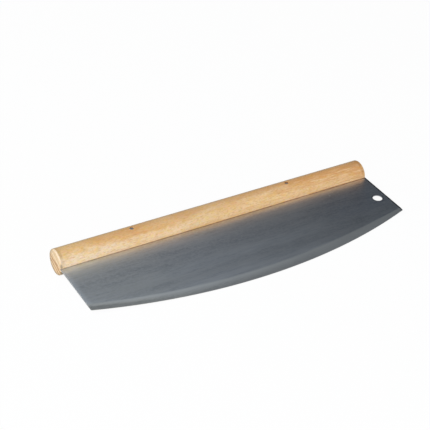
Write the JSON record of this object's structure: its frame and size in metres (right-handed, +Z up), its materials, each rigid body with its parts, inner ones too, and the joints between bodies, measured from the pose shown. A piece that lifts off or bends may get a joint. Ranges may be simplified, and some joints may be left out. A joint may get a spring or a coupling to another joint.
{
  "type": "rocking pizza knife",
  "caption": "Wide rocking pizza knife: flat steel blade with an arched ground edge and a hanging hole, pinned in the saw slot of a round wooden handle.",
  "frame": {"origin": "on the table, under the middle of the knife's bounding box, with the knife lying as it rests", "axes": "+X along the handle towards the end with the hanging hole, -Y from the handle towards the cutting edge, +Z up"},
  "size_m": [0.35, 0.1182, 0.026],
  "materials": {
    "handle_wood": "sanded, lightly oiled pale hardwood",
    "blade_steel": "brushed lengthwise, with a finely ground bevel",
    "pin_metal": "cut ends, matt"
  },
  "bodies": {
    "root": {"handle": "handle_wood", "blade": "blade_steel", "left_pin": "pin_metal", "right_pin": "pin_metal"}
  },
  "joints": []
}
